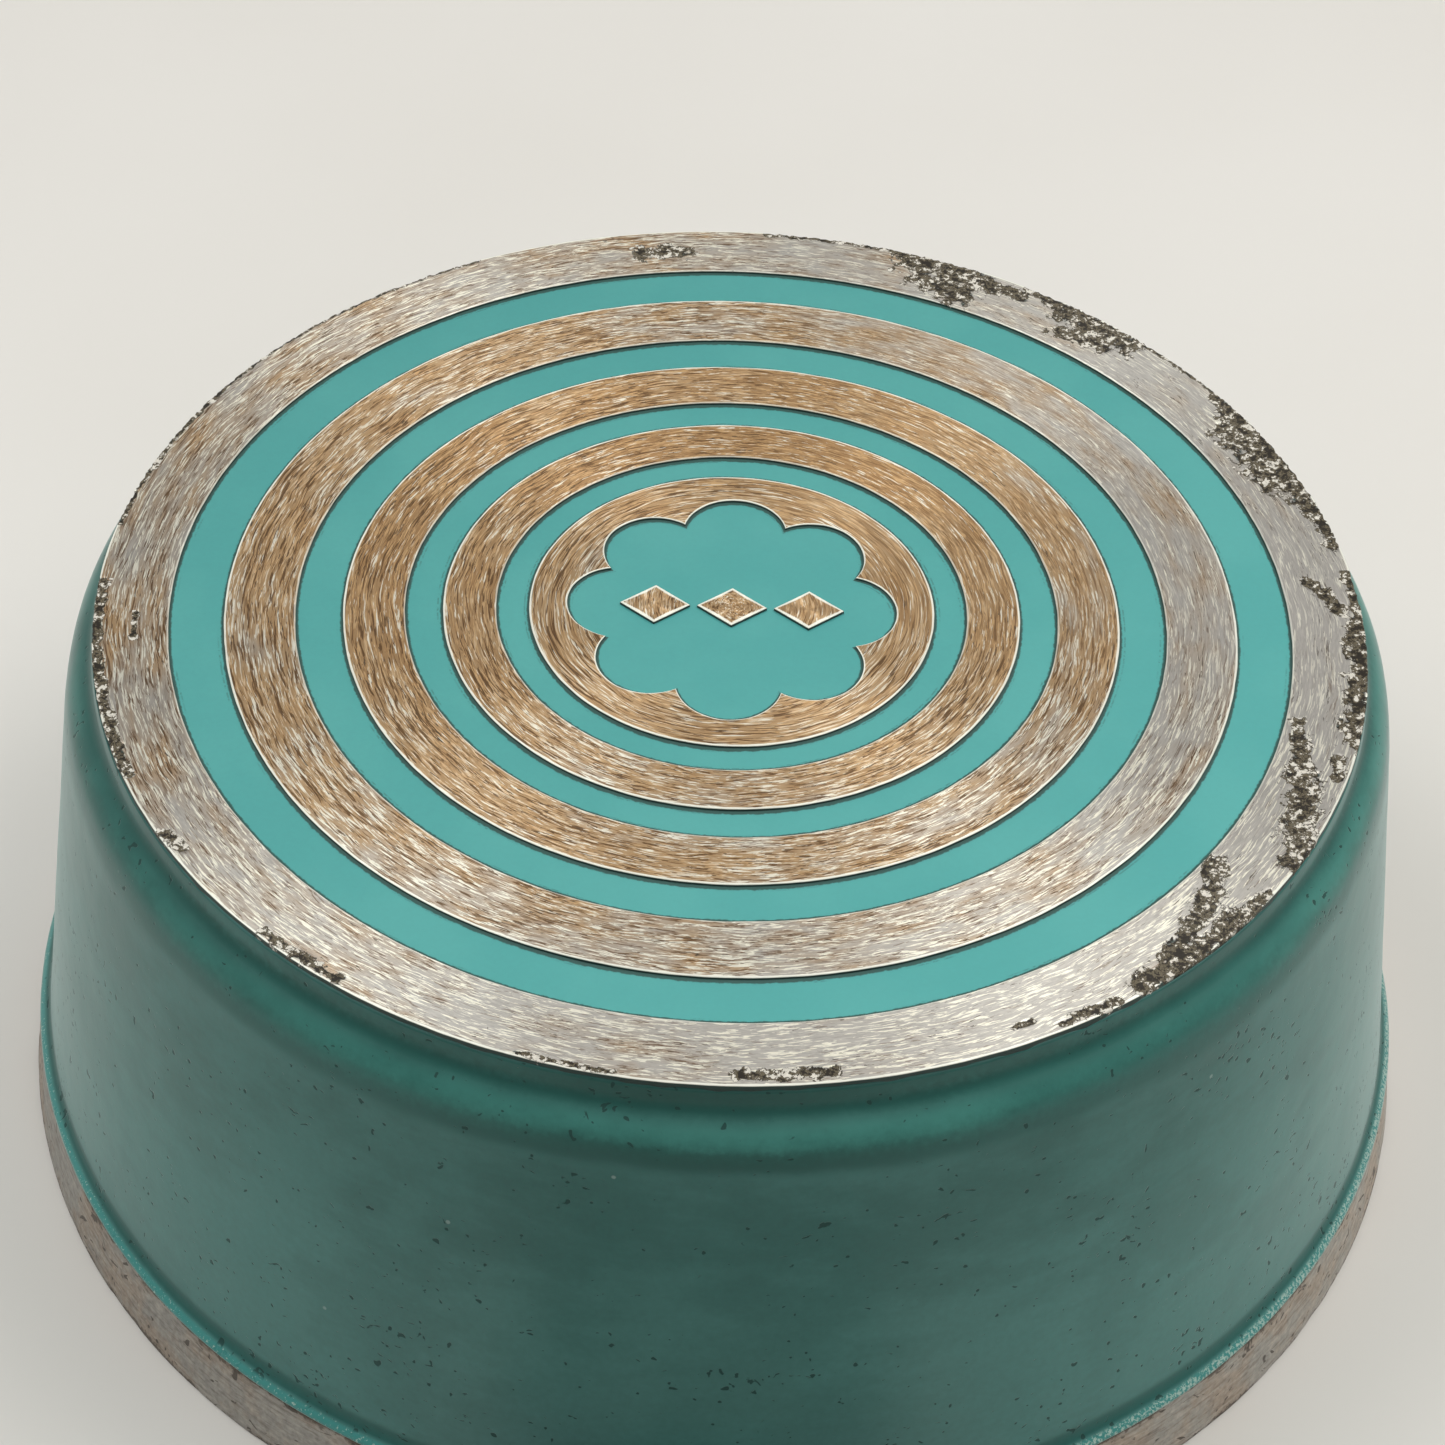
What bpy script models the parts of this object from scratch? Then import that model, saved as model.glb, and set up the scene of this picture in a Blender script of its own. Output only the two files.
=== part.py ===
"""Cast-aluminium cooking pot with an enamelled outside, standing upside down on its rim.

The frame is in metres with +Z up. The rim rests on the plane z = 0, the pot's axis is +Z, and the
machined base, with its raised rings, is on top. The two side handles lie along -Y and +Y.
"""
import math

import bmesh
import bpy
from mathutils import Vector
from mathutils.geometry import interpolate_bezier

# Driving dimensions of the casting
RIM_R = 0.1270
HEIGHT = 0.1026
BASE_R = 0.1086
BASE_THICK = 0.0060
WALL_THICK = 0.0042

# Raised rings of the base, from the outside in. Each ring is followed by its enamelled groove.
RING_WIDTHS = (0.0128, 0.0121, 0.0106, 0.0091)
GROOVE_WIDTHS = (0.0093, 0.0080, 0.0064, 0.0056)
GROOVE_DEPTH = 0.0012

# Outer wall, as a radius and a drop below the base plane
PAD_EDGE = (BASE_R + 0.0003, 0.0022)
PAD_HANDLE = (BASE_R + 0.0007, 0.0066)
SHOULDER_HANDLE = (0.1134, 0.0062)
WALL_TOP = (0.1150, 0.0190)
WALL_FOOT = (0.1234, 0.0864)
BEAD_HOLLOW = (0.1238, 0.0879)
BAND_TOP = (RIM_R - 0.0018, 0.0900)

# Enamel coat and the clearance that touching pieces keep
COAT = 0.0003
GAP = 0.0003
LIP = COAT + GAP

# Seat for a lid, inside the rim
LID_SEAT_R = RIM_R - 0.0048
LID_SEAT_DEPTH = 0.0060
INNER_CORNER_R = 0.0100

# Recessed rosette in the centre disc, with a row of plain raised lozenges across it
ROSETTE_LOBES = 8
ROSETTE_LOBE_R = 0.0090
ROSETTE_CENTRE_R = 0.0195
LOZENGE_HALF = (0.0060, 0.0048)
LOZENGE_X = (-0.0132, 0.0, 0.0132)

# Handles
HANDLE_Z = 0.0185
LUG_FACE_Y = 0.1322
LUG_HALF = (0.0125, 0.0060)
LUG_LENGTH = 0.0117
LUG_POWER = 5.0
GUARD_THICK = 0.0008
GUARD_LENGTH = 0.0400
GUARD_FLANGE = 0.0050
GRIP_HALF = (0.0480, 0.0180)
GRIP_THICK = 0.0150
GRIP_SEAT_POWER = 5.0
GRIP_BOW_POWER = 2.6
GRIP_HOLE_HALF = (0.0310, 0.0080)
GRIP_HOLE_POWER = 3.0
GRIP_BAR = 0.0102
GRIP_ROUNDING = 0.0036
SCREW_R = 0.0024
SCREW_REACH = 0.0090
SCREW_HEAD_R = 0.0045
SCREW_HEAD_THICK = 0.0026
SCREW_CROWN_R = 0.0032
SCREW_CROWN_DROP = 0.0004
SCREW_RIM_HEIGHT = 0.0008
SLOT_WIDTH = 0.0011
WASHER_THICK = 0.0011
WASHER_WIDTH = 0.0015
WASHER_SPLIT = math.radians(12)

# Facets
POT_STEPS = 60
GRIP_STEPS = 44
SMALL_STEPS = 24
LOBE_STEPS = 5
SHOULDER_POINTS = 6
CORNER_STEPS = 4
ROUNDING_SEGMENTS = 3
ROUNDING_ANGLE = math.radians(50)
SHARP_ANGLE = math.radians(32)
MERGE = 0.00001

# Material, with base colour, metallic and roughness
ALUMINIUM = ("cast_aluminium", (0.46, 0.41, 0.33), 1.0, 0.42)
BASE_ENAMEL = ("turquoise_enamel", (0.075, 0.36, 0.34), 0.0, 0.45)
WALL_ENAMEL = ("dark_turquoise_enamel", (0.045, 0.19, 0.165), 0.0, 0.35)
PHENOLIC = ("black_phenolic", (0.012, 0.011, 0.010), 0.0, 0.30)
STAMPED = ("stamped_aluminium", (0.62, 0.62, 0.60), 1.0, 0.30)
STEEL = ("plated_steel", (0.55, 0.54, 0.52), 1.0, 0.28)


def clear_scene():
    """Remove every object that the file starts with."""
    for obj in list(bpy.data.objects):
        bpy.data.objects.remove(obj, do_unlink=True)


def material_for(name, finish):
    """A Principled material of one piece's own."""
    label, colour, metallic, roughness = finish
    material = bpy.data.materials.new(f"{name}_{label}")
    material.use_nodes = True
    shader = material.node_tree.nodes["Principled BSDF"]
    shader.inputs["Base Color"].default_value = (*colour, 1.0)
    shader.inputs["Metallic"].default_value = metallic
    shader.inputs["Roughness"].default_value = roughness
    return material


def add_object(name, bm, finish=None, parent=None):
    """Turn a bmesh into an object with outward faces, smooth where it is round."""
    bmesh.ops.recalc_face_normals(bm, faces=bm.faces)
    mesh = bpy.data.meshes.new(name)
    bm.to_mesh(mesh)
    bm.free()
    mesh.shade_smooth()
    mesh.set_sharp_from_angle(angle=SHARP_ANGLE)
    obj = bpy.data.objects.new(name, mesh)
    bpy.context.scene.collection.objects.link(obj)
    obj.parent = parent
    if finish:
        mesh.materials.append(material_for(name, finish))
    return obj


def as_tool(obj):
    """Mark an object that only shapes another one."""
    obj.hide_render = True
    obj.display_type = "WIRE"
    return obj


def combine(target, tool, operation):
    """Cut or join a tool into the target with a Boolean modifier."""
    modifier = target.modifiers.new(f"{operation.lower()}_{tool.name}", "BOOLEAN")
    modifier.object = as_tool(tool)
    modifier.operation = operation
    modifier.solver = "EXACT"


def spin_outline(outline, steps, axis="Z", closed=False, sweep=math.tau):
    """Spin an outline of (radius, height) points round Z or Y and return the bmesh."""
    bm = bmesh.new()
    if axis == "Z":
        points = [Vector((radius, 0.0, height)) for radius, height in outline]
        direction = Vector((0.0, 0.0, 1.0))
    else:
        points = [Vector((radius, height, 0.0)) for radius, height in outline]
        direction = Vector((0.0, 1.0, 0.0))
    verts = [bm.verts.new(point) for point in points]
    ends = verts[1:] + (verts[:1] if closed else [])
    edges = [bm.edges.new(pair) for pair in zip(verts, ends)]
    whole_turn = math.isclose(sweep, math.tau)
    if not whole_turn:
        bm.faces.new(verts)
    result = bmesh.ops.spin(bm, geom=verts + edges, cent=(0, 0, 0), axis=direction, dvec=(0, 0, 0),
                            angle=sweep, steps=steps, use_merge=whole_turn)
    if not whole_turn:
        bm.faces.new([item for item in result["geom_last"] if isinstance(item, bmesh.types.BMVert)])
    bmesh.ops.remove_doubles(bm, verts=bm.verts, dist=MERGE)
    return bm


def prism(outline, low, high, axis="Z"):
    """A prism over a closed outline, from low to high along Z or Y."""
    bm = bmesh.new()
    if axis == "Z":
        corners = [(x, y, low) for x, y in outline]
        rise = Vector((0.0, 0.0, high - low))
    else:
        corners = [(x, low, z) for x, z in outline]
        rise = Vector((0.0, high - low, 0.0))
    floor = bm.faces.new([bm.verts.new(corner) for corner in corners])
    extruded = bmesh.ops.extrude_face_region(bm, geom=[floor])
    raised = [item for item in extruded["geom"] if isinstance(item, bmesh.types.BMVert)]
    bmesh.ops.translate(bm, verts=raised, vec=rise)
    return bm


def circle(radius, steps, centre=(0.0, 0.0)):
    """Points of a circle, anticlockwise."""
    return [(centre[0] + radius * math.cos(math.tau * i / steps),
             centre[1] + radius * math.sin(math.tau * i / steps)) for i in range(steps)]


def superellipse(half, power, steps, centre_y=0.0, far_power=None):
    """Points of a superellipse, with its own power on the +Y half if far_power is given."""
    points = []
    for i in range(steps):
        angle = math.tau * (i + 0.5) / steps
        cos, sin = math.cos(angle), math.sin(angle)
        exponent = 2.0 / (far_power if far_power and sin > 0 else power)
        x = math.copysign(half[0] * abs(cos) ** exponent, cos)
        y = math.copysign(half[1] * abs(sin) ** exponent, sin)
        points.append((x, centre_y + y))
    return points


def offset_line(points, distance):
    """An open line moved to the right of its direction by a distance, with mitred corners."""
    vectors = [Vector(point) for point in points]
    normals = []
    for start, end in zip(vectors, vectors[1:]):
        along = (end - start).normalized()
        normals.append(Vector((along.y, -along.x)))
    moved = []
    for i, point in enumerate(vectors):
        before = normals[max(i - 1, 0)]
        after = normals[min(i, len(normals) - 1)]
        mitre = (before + after).normalized()
        moved.append(tuple(point + mitre * (distance / mitre.dot(after))))
    return moved


# ---- The turned casting --------------------------------------------------------------------------

def groove_spans():
    """Inner and outer radius of each groove, from the outside in."""
    spans = []
    radius = BASE_R
    for ring, groove in zip(RING_WIDTHS, GROOVE_WIDTHS):
        outer = radius - ring
        radius = outer - groove
        spans.append((radius, outer))
    return spans


def coat_line():
    """The enamelled outside of the wall, from the base edge down to the rim band."""
    shoulder = interpolate_bezier(PAD_EDGE, PAD_HANDLE, SHOULDER_HANDLE, WALL_TOP, SHOULDER_POINTS)
    drops = [(BASE_R, LIP + GAP)]
    drops += [tuple(point) for point in shoulder]
    drops += [WALL_FOOT, BEAD_HOLLOW, (BAND_TOP[0], BAND_TOP[1] - GAP)]
    return [(radius, HEIGHT - drop) for radius, drop in drops]


def casting_outline():
    """Half section of the casting: base rings, outer wall, rim, lid seat and cavity."""
    top = [(0.0, HEIGHT)]
    for inner, outer in reversed(groove_spans()):
        floor = HEIGHT - GROOVE_DEPTH
        top += [(inner, HEIGHT), (inner, floor), (outer, floor), (outer, HEIGHT)]
    top += [(BASE_R, HEIGHT), (BASE_R, HEIGHT - LIP)]

    under_coat = offset_line(coat_line(), LIP)
    under_coat[0] = (under_coat[0][0], HEIGHT - LIP)
    band_z = HEIGHT - BAND_TOP[1]
    under_coat[-1] = (under_coat[-1][0], band_z)
    rim = [(BAND_TOP[0], band_z), (RIM_R, 0.0), (LID_SEAT_R, 0.0), (LID_SEAT_R, LID_SEAT_DEPTH)]

    foot_z = HEIGHT - WALL_FOOT[1]
    ceiling = HEIGHT - BASE_THICK
    corner_z = ceiling - INNER_CORNER_R
    draft = (WALL_FOOT[0] - WALL_TOP[0]) / (WALL_FOOT[1] - WALL_TOP[1])
    foot_r = WALL_FOOT[0] - WALL_THICK
    seat_r = foot_r + draft * (foot_z - LID_SEAT_DEPTH)
    corner_r = foot_r - draft * (corner_z - foot_z)
    centre_r = corner_r - INNER_CORNER_R
    cavity = [(seat_r, LID_SEAT_DEPTH)]
    for i in range(CORNER_STEPS + 1):
        angle = math.pi / 2 * i / CORNER_STEPS
        cavity.append((centre_r + INNER_CORNER_R * math.cos(angle),
                       corner_z + INNER_CORNER_R * math.sin(angle)))
    cavity.append((0.0, ceiling))
    return top + under_coat + rim + cavity


def rosette(shrink):
    """A scalloped outline of equal round lobes, drawn in by the shrink distance."""
    radius = ROSETTE_LOBE_R - shrink
    step = math.pi / ROSETTE_LOBES
    half_chord = ROSETTE_CENTRE_R * math.sin(step)
    cusp_r = ROSETTE_CENTRE_R * math.cos(step) + math.sqrt(radius ** 2 - half_chord ** 2)
    cusp = Vector((cusp_r * math.cos(step), cusp_r * math.sin(step)))
    reach = math.atan2(cusp.y, cusp.x - ROSETTE_CENTRE_R)
    points = []
    for lobe in range(ROSETTE_LOBES):
        turn = 2 * step * lobe
        centre = ROSETTE_CENTRE_R * Vector((math.cos(turn), math.sin(turn)))
        for i in range(LOBE_STEPS):
            angle = turn - reach + 2 * reach * i / LOBE_STEPS
            points.append((centre.x + radius * math.cos(angle), centre.y + radius * math.sin(angle)))
    return points


def lozenge(centre_x, grow):
    """The four corners of a lozenge on the X axis, with its sides moved out by the grow distance."""
    side = math.hypot(*LOZENGE_HALF)
    long_half = LOZENGE_HALF[0] + grow * side / LOZENGE_HALF[1]
    short_half = LOZENGE_HALF[1] + grow * side / LOZENGE_HALF[0]
    return [(centre_x + long_half, 0.0), (centre_x, short_half),
            (centre_x - long_half, 0.0), (centre_x, -short_half)]


def rosette_solid(name, low, high, shrink, finish=None):
    """The rosette as a plate with openings for the lozenges."""
    plate = add_object(name, prism(rosette(shrink), low, high), finish)
    over = GROOVE_DEPTH
    for i, centre_x in enumerate(LOZENGE_X):
        opening = prism(lozenge(centre_x, shrink), low - over, high + over)
        combine(plate, add_object(f"{name}_opening_{i}", opening), "DIFFERENCE")
    return plate


def lug_tool(name, handle, grow=0.0, length=LUG_LENGTH):
    """The cast lug's block behind one handle, or the space that clears it."""
    half = (LUG_HALF[0] + grow, LUG_HALF[1] + grow)
    block = prism(superellipse(half, LUG_POWER, SMALL_STEPS), -length, grow, axis="Y")
    return add_object(name, block, parent=handle)


def make_casting(handles):
    """The pot's one casting, with its lugs, screw holes and recessed rosette."""
    casting = add_object("pot_body", spin_outline(casting_outline(), POT_STEPS), ALUMINIUM)
    for side, handle in handles.items():
        combine(casting, lug_tool(f"{side}_lug", handle), "UNION")
        hole = prism(circle(SCREW_R + GAP, SMALL_STEPS), -SCREW_REACH - GAP, SCREW_REACH, axis="Y")
        combine(casting, add_object(f"{side}_lug_hole", hole, parent=handle), "DIFFERENCE")
    recess = rosette_solid("rosette_recess", HEIGHT - GROOVE_DEPTH, HEIGHT + GROOVE_DEPTH, 0.0)
    combine(casting, recess, "DIFFERENCE")


# ---- The enamel ----------------------------------------------------------------------------------

def make_wall_enamel(handles):
    """The coat on the shoulder, wall and bead, open round each lug."""
    outside = coat_line()
    outline = outside + offset_line(outside, COAT)[::-1]
    coat = add_object("enamel_wall", spin_outline(outline, POT_STEPS, closed=True), WALL_ENAMEL)
    for side, handle in handles.items():
        combine(coat, lug_tool(f"{side}_lug_clearance", handle, GAP), "DIFFERENCE")


def make_base_enamel():
    """The coat on the floor of each groove and of the rosette."""
    low = HEIGHT - GROOVE_DEPTH + GAP
    high = low + COAT
    for number, (inner, outer) in enumerate(groove_spans(), start=1):
        start, end = inner + GAP, outer - GAP
        outline = [(start, high), (end, high), (end, low), (start, low)]
        ring = spin_outline(outline, POT_STEPS, closed=True)
        add_object(f"enamel_groove_{number}", ring, BASE_ENAMEL)
    rosette_solid("enamel_rosette", low, high, GAP, BASE_ENAMEL)


# ---- The handles ---------------------------------------------------------------------------------

def handle_frame(side, turn):
    """An empty on the lug's face, with its +Y pointing away from the pot."""
    empty = bpy.data.objects.new(f"{side}_handle", None)
    bpy.context.scene.collection.objects.link(empty)
    empty.location = (-LUG_FACE_Y * math.sin(turn), LUG_FACE_Y * math.cos(turn), HANDLE_Z)
    empty.rotation_euler = (0.0, 0.0, turn)
    return empty


def screw_hole(name, piece, parent):
    """Clear a way for the screw through a piece."""
    bore = prism(circle(SCREW_R + GAP, SMALL_STEPS), -GRIP_BAR, 2 * GRIP_BAR, axis="Y")
    combine(piece, add_object(f"{name}_bore", bore, parent=parent), "DIFFERENCE")


def make_flame_guard(side, handle):
    """A stamped channel between the lug and the grip, with its flanges over the grip."""
    inner = GRIP_THICK / 2 + GAP
    outer = inner + GUARD_THICK
    back = GAP + GUARD_THICK
    tip = back + GUARD_FLANGE
    section = [(GAP, -outer), (tip, -outer), (tip, -inner), (back, -inner),
               (back, inner), (tip, inner), (tip, outer), (GAP, outer)]
    bm = bmesh.new()
    start = bm.faces.new([bm.verts.new((-GUARD_LENGTH / 2, y, z)) for y, z in section])
    extruded = bmesh.ops.extrude_face_region(bm, geom=[start])
    far = [item for item in extruded["geom"] if isinstance(item, bmesh.types.BMVert)]
    bmesh.ops.translate(bm, verts=far, vec=(GUARD_LENGTH, 0.0, 0.0))
    guard = add_object(f"{side}_flame_guard", bm, STAMPED, handle)
    screw_hole(guard.name, guard, handle)


def make_grip(side, handle):
    """A moulded loop: a flat bar at the pot, a bowed bar outside, and a finger gap between."""
    seat = 2 * GAP + GUARD_THICK
    outer = superellipse(GRIP_HALF, GRIP_SEAT_POWER, GRIP_STEPS, seat + GRIP_HALF[1], GRIP_BOW_POWER)
    hole_y = seat + GRIP_BAR + GRIP_HOLE_HALF[1]
    inner = superellipse(GRIP_HOLE_HALF, GRIP_HOLE_POWER, GRIP_STEPS, hole_y)
    bm = bmesh.new()
    loops = []
    for outline, z in ((outer, -1), (outer, 1), (inner, 1), (inner, -1)):
        loops.append([bm.verts.new((x, y, z * GRIP_THICK / 2)) for x, y in outline])
    for this_loop, next_loop in zip(loops, loops[1:] + loops[:1]):
        for i in range(GRIP_STEPS):
            j = (i + 1) % GRIP_STEPS
            bm.faces.new((this_loop[i], this_loop[j], next_loop[j], next_loop[i]))
    grip = add_object(f"{side}_grip", bm, PHENOLIC, handle)
    rounding = grip.modifiers.new("rounding", "BEVEL")
    rounding.width = GRIP_ROUNDING
    rounding.segments = ROUNDING_SEGMENTS
    rounding.limit_method = "ANGLE"
    rounding.angle_limit = ROUNDING_ANGLE
    screw_hole(grip.name, grip, handle)


def make_screw(side, handle):
    """A slotted pan-head screw through the grip and the guard into the lug."""
    under_head = 2 * GAP + GUARD_THICK + GRIP_BAR + 2 * GAP + WASHER_THICK
    crown = under_head + SCREW_HEAD_THICK
    chamfer = SCREW_R / 3
    outline = [(0.0, crown), (SCREW_CROWN_R, crown - SCREW_CROWN_DROP),
               (SCREW_HEAD_R, under_head + SCREW_RIM_HEIGHT), (SCREW_HEAD_R, under_head),
               (SCREW_R, under_head), (SCREW_R, chamfer - SCREW_REACH),
               (SCREW_R - chamfer, -SCREW_REACH), (0.0, -SCREW_REACH)]
    screw = add_object(f"{side}_screw", spin_outline(outline, SMALL_STEPS, axis="Y"), STEEL, handle)
    half_long, half_wide = SCREW_HEAD_R + GAP, SLOT_WIDTH / 2
    corners = [(-half_long, -half_wide), (half_long, -half_wide),
               (half_long, half_wide), (-half_long, half_wide)]
    slot = prism(corners, crown - SCREW_HEAD_THICK / 2, crown + SCREW_HEAD_THICK, axis="Y")
    combine(screw, add_object(f"{side}_screw_slot", slot, parent=handle), "DIFFERENCE")


def make_washer(side, handle):
    """A split lock washer under the screw's head."""
    low = 2 * GAP + GUARD_THICK + GRIP_BAR + GAP
    high = low + WASHER_THICK
    inner = SCREW_R + GAP
    outer = inner + WASHER_WIDTH
    outline = [(inner, high), (outer, high), (outer, low), (inner, low)]
    bm = spin_outline(outline, SMALL_STEPS, axis="Y", closed=True, sweep=math.tau - WASHER_SPLIT)
    add_object(f"{side}_lock_washer", bm, STEEL, handle)


def main():
    clear_scene()
    handles = {"rear": handle_frame("rear", 0.0), "front": handle_frame("front", math.pi)}
    make_casting(handles)
    make_wall_enamel(handles)
    make_base_enamel()
    for side, handle in handles.items():
        make_flame_guard(side, handle)
        make_grip(side, handle)
        make_screw(side, handle)
        make_washer(side, handle)


main()
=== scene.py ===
"""Looks of an upside-down cooking pot: machined base, enamel, worn rim, phenolic grips, floor and light.

Lengths are in metres. The pot's axis is +Z, its rim rests on z = 0 and its base is on top. The grips lie
along -Y (front) and +Y (rear).
"""
import math

import bmesh
import bpy
import numpy as np
from mathutils import Matrix, Vector, noise


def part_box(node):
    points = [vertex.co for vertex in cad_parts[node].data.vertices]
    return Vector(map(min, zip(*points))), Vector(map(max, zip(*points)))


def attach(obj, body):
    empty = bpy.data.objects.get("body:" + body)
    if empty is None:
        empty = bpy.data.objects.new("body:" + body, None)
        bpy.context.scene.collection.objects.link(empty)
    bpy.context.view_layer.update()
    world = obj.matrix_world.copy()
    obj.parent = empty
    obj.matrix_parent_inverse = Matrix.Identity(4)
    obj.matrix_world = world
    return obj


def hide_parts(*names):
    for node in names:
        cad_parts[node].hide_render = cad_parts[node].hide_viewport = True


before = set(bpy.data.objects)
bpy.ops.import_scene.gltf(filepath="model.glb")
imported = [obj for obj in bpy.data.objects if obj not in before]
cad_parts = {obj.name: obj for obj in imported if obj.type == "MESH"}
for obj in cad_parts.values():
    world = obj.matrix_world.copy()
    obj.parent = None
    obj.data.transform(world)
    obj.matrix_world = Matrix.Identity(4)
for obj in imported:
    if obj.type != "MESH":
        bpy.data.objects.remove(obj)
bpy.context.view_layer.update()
BODY = "root"
MM = 0.001


# ---- Sizes, worked out from the frame --------------------------------------------------

def radii(node, low=-1.0, high=1.0):
    """Smallest and largest distance from the pot's axis of a node's vertices between two heights."""
    found = [math.hypot(v.co.x, v.co.y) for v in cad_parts[node].data.vertices
             if low <= v.co.z <= high]
    return min(found), max(found)


def groove_span(number):
    """Inner and outer radius of a groove, from the enamel in it and the clearance beside that."""
    inner, outer = radii(f"enamel_groove_{number}")
    return inner - GAP, outer + GAP


def wall_line():
    """The wall's outer line above its bead as (radius, height): a straight taper, then a coved shoulder."""
    shoulder = ((6.30, 19.0), (5.85, 15.2), (5.35, 12.4), (4.80, 10.3), (3.90, 8.5), (2.60, 6.9),
                (1.20, 5.7), (0.45, 4.5), (0.22, 2.8), (0.0, 0.9))
    foot = Vector((BAND_R - 1.85 * MM, BAND_Z + 3.6 * MM))
    curve = [Vector((EDGE_R + out * MM, TOP_Z - drop * MM)) for out, drop in shoulder]
    taper = [foot.lerp(curve[0], step / 14.0) for step in range(14)]
    return taper + curve


GAP = 0.3 * MM                           # clearance between neighbouring CAD solids
RIM_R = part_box("pot_body")[1].x
TOP_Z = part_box("pot_body")[1].z
EDGE_R = radii("pot_body", TOP_Z - GAP / 2, TOP_Z + GAP)[1]
LID_R = radii("pot_body", -GAP, GAP)[0]
ENAMEL_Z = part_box("enamel_groove_1")[1].z
GROOVE_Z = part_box("enamel_groove_1")[0].z - GAP
BAND_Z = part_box("enamel_wall")[0].z
BAND_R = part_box("enamel_wall")[1].x
GROOVES = [groove_span(number) for number in (1, 2, 3, 4)]

LOBES = 8                                # round lobes of the rosette in the centre
LOBE_R = 9.0 * MM
LOBE_CENTRE = radii("enamel_rosette")[1] + GAP - LOBE_R
LOZENGE_HALF = (6.0 * MM, 4.8 * MM)      # plain raised marks across the rosette
LOZENGE_X = (-13.2 * MM, 0.0, 13.2 * MM)
EDGE_ROUNDING = 0.22 * MM                # worn corners of the machined lands

BASE_THICK = 6.0 * MM
LID_SEAT_DEPTH = 6.0 * MM
INNER_CORNER_R = 10.0 * MM
COAT_THICK = 0.35 * MM                   # the enamel skin on the wall

GRIP_HOLE_HALF = (31.0 * MM, 8.0 * MM)   # finger hole of a grip
GRIP_BAR = 10.2 * MM                     # from the grip's seat to its finger hole
GRIP_SQUARENESS = 3.4                    # section of the bar: 2 is round, more is squarer
LUG_HALF = (12.5 * MM, 6.0 * MM)
LUG_DEPTH = 11.0 * MM
LUG_FLARE = 3.4 * MM
FLOOR_R = 9.0


# ---- Mesh helpers ----------------------------------------------------------------------

def add_piece(name, points, faces, material, replaces=()):
    """Makes a smooth-shaded object from points and faces, and ties it to the pot."""
    mesh = bpy.data.meshes.new(name)
    mesh.from_pydata([tuple(point) for point in points], [], faces)
    mesh.validate()
    mesh.shade_smooth()
    mesh.materials.append(material)
    piece = bpy.data.objects.new(name, mesh)
    bpy.context.collection.objects.link(piece)
    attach(piece, BODY)
    if replaces:
        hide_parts(*replaces)
    return piece


def tidy_mesh(piece):
    """Merges coincident points and turns the faces outward."""
    merge = 0.001 * MM
    bm = bmesh.new()
    bm.from_mesh(piece.data)
    bmesh.ops.remove_doubles(bm, verts=bm.verts, dist=merge)
    bmesh.ops.dissolve_degenerate(bm, edges=bm.edges, dist=merge)
    bmesh.ops.recalc_face_normals(bm, faces=bm.faces)
    bm.to_mesh(piece.data)
    bm.free()
    piece.data.shade_smooth()


def quads(rows, columns, close_columns=True):
    """Faces of a grid of points, one row after another. The rows close into a ring, the columns may."""
    last_column = columns if close_columns else columns - 1
    faces = []
    for i in range(rows):
        here = i * columns
        there = (i + 1) % rows * columns
        for j in range(last_column):
            k = (j + 1) % columns
            faces.append((here + j, there + j, there + k, here + k))
    return faces


def angles(steps):
    """Evenly spaced angles round the axis, as a column."""
    return np.arange(steps)[:, None] * math.tau / steps


def turn_points(radius, height):
    """Points of a turned surface: one row of radius and height for each angle."""
    angle = angles(len(radius))
    grid = np.stack([radius * np.cos(angle), radius * np.sin(angle), height], axis=-1)
    return grid.reshape(-1, 3)


def spin(outline, steps):
    """Radius and height arrays of an outline of (radius, height) points, the same all round."""
    line = np.array(outline)
    radius = np.repeat(line[None, :, 0], steps, axis=0)
    height = np.repeat(line[None, :, 1], steps, axis=0)
    return radius, height


def add_field(piece, name, values):
    """Stores one number for each point, for the material to read."""
    attribute = piece.data.attributes.new(name, "FLOAT", "POINT")
    attribute.data.foreach_set("value", np.asarray(values, dtype=np.float32).ravel())


def rough(points, size, octaves=3, offset=0.0):
    """Smooth noise of about -1 to 1 at each point, with features of the given size."""
    shift = Vector((offset, offset * 0.7, offset * 1.3))
    values = [noise.fractal(Vector(point) / size + shift, 0.7, 2.0, octaves) for point in points]
    return np.array(values)


def ramp(values, low, high):
    """0 below low, 1 above high, smooth between; low may be above high."""
    share = np.clip((values - low) / (high - low), 0.0, 1.0)
    return share * share * (3.0 - 2.0 * share)


def arc(centre, radius, start, end, points):
    """Points of an arc in the (radius, height) plane, angles in degrees."""
    turns = np.radians(np.linspace(start, end, points))
    return [(centre[0] + radius * math.cos(t), centre[1] + radius * math.sin(t)) for t in turns]


def smooth_line(points, spacing):
    """A Catmull-Rom curve through the points, with a new point about every spacing."""
    given = [Vector(point) for point in points]
    ends = [given[0] * 2 - given[1]] + given + [given[-1] * 2 - given[-2]]
    line = []
    for before, start, end, after in zip(ends, ends[1:], ends[2:], ends[3:]):
        count = max(1, round((end - start).length / spacing))
        for step in range(count):
            t = step / count
            line.append(0.5 * (2 * start + (end - before) * t
                               + (2 * before - 5 * start + 4 * end - after) * t ** 2
                               + (3 * start - before - 3 * end + after) * t ** 3))
    line.append(given[-1])
    return [(point.x, point.y) for point in line]


# ---- Material helpers ------------------------------------------------------------------

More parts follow.
